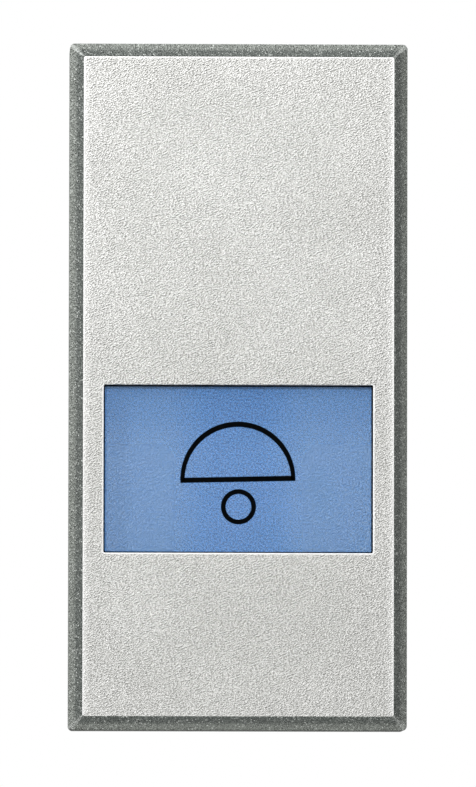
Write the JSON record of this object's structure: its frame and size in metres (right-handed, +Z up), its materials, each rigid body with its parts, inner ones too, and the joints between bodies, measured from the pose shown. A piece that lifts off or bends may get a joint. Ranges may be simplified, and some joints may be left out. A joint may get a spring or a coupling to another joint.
{
  "type": "doorbell push button",
  "caption": "One-place modular doorbell push button: tilting key with a lit bell window over a sprung bridging switch in a clip-in housing with clamp terminals.",
  "frame": {"origin": "centre of the seating plane, the back face of the front frame's flange, on the key's middle", "axes": "+X to the right seen from the room, +Y into the wall, +Z up along the key's long side"},
  "size_m": [0.0222, 0.034, 0.045],
  "materials": {
    "painted_plastic": "silver metallic paint on moulded plastic",
    "clear_plastic": "clear moulded polycarbonate",
    "label_film": "printed film, satin",
    "white_plastic": "opal moulded plastic",
    "black_plastic": "moulded, fine grain",
    "grey_plastic": "moulded, fine grain",
    "spring_steel": "bright drawn or rolled",
    "zinc_steel": "zinc plated",
    "brass": "stamped",
    "silver_contact": "silver alloy, satin",
    "circuit_board": "glass-fibre board with green lacquer",
    "resistor_coat": "baked lacquer"
  },
  "bodies": {
    "base": {"front_frame": "black_plastic", "pivot_pin": "spring_steel", "housing": "grey_plastic", "rear_cover": "black_plastic", "cover_screw_lower": "zinc_steel", "cover_screw_upper": "zinc_steel", "retaining_clip_upper": "spring_steel", "retaining_clip_lower": "spring_steel", "guide_plate": "white_plastic", "return_spring": "spring_steel", "fixed_tip_left": "silver_contact", "fixed_tip_right": "silver_contact", "switch_strip_left": "brass", "switch_strip_right": "brass", "lamp_strip_left": "brass", "lamp_strip_right": "brass", "terminal_clamp_upper_left": "brass", "terminal_clamp_upper_right": "brass", "terminal_clamp_lower_left": "brass", "terminal_clamp_lower_right": "brass", "clamp_screw_upper_left": "zinc_steel", "clamp_screw_upper_right": "zinc_steel", "clamp_screw_lower_left": "zinc_steel", "clamp_screw_lower_right": "zinc_steel", "light_tunnel": "white_plastic", "lamp_board": "circuit_board", "led_lamp": "clear_plastic", "series_resistor": "resistor_coat"},
    "key": {"key_cover": "painted_plastic", "window_lens": "clear_plastic", "label_card": "label_film", "light_diffuser": "white_plastic", "key_carrier": "black_plastic"},
    "plunger": {"plunger": "white_plastic", "contact_spring": "spring_steel", "contact_bridge": "brass", "retaining_ring": "spring_steel", "moving_tip_left": "silver_contact", "moving_tip_right": "silver_contact"}
  },
  "joints": [
    {"name": "key_tilt", "type": "hinge", "parent": "base", "child": "key", "pos_m": [0, -0.003, 0.0175], "axis": [1, 0, 0], "range_deg": [0, 2.5], "stiffness_Nm_per_rad": 0.12, "springref_deg": -2.86},
    {"name": "plunger_slide", "type": "slide", "parent": "base", "child": "plunger", "axis": [0, 1, 0], "range_m": [0, 0.00145], "deforming": ["return_spring"]}
  ],
  "couplings": [
    {"joint": "plunger_slide", "follows": "key_tilt", "m_per_rad": 0.033}
  ]
}
